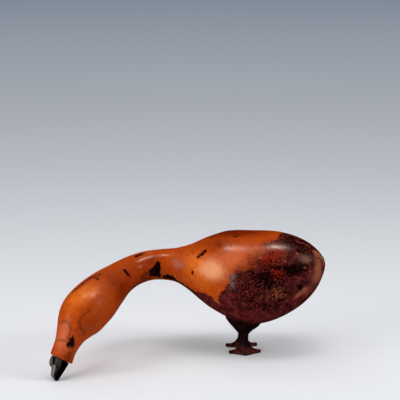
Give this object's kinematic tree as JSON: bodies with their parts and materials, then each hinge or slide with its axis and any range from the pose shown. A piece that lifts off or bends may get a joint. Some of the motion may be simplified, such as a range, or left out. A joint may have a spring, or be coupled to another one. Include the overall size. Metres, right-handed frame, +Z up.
{
  "type": "decorative gourd goose",
  "caption": "Dried bent-neck gourd shaped as a feeding goose, with a carved black beak stopper and a small carved wooden stand with webbed feet.",
  "frame": {"origin": "on the ground, under the middle of the object's bounding box", "axes": "+X from the beak to the tail, +Y away from the side that the head is turned to, +Z up"},
  "size_m": [0.2748, 0.1558, 0.1269],
  "materials": {
    "gourd_skin": "polished gourd rind, orange brown with dark maroon mottling",
    "black_horn": "black, satin, carved",
    "dark_rosewood": "dark reddish brown, satin, carved"
  },
  "bodies": {
    "root": {"gourd": "gourd_skin", "beak_stopper": "black_horn", "stand": "dark_rosewood"}
  },
  "joints": []
}
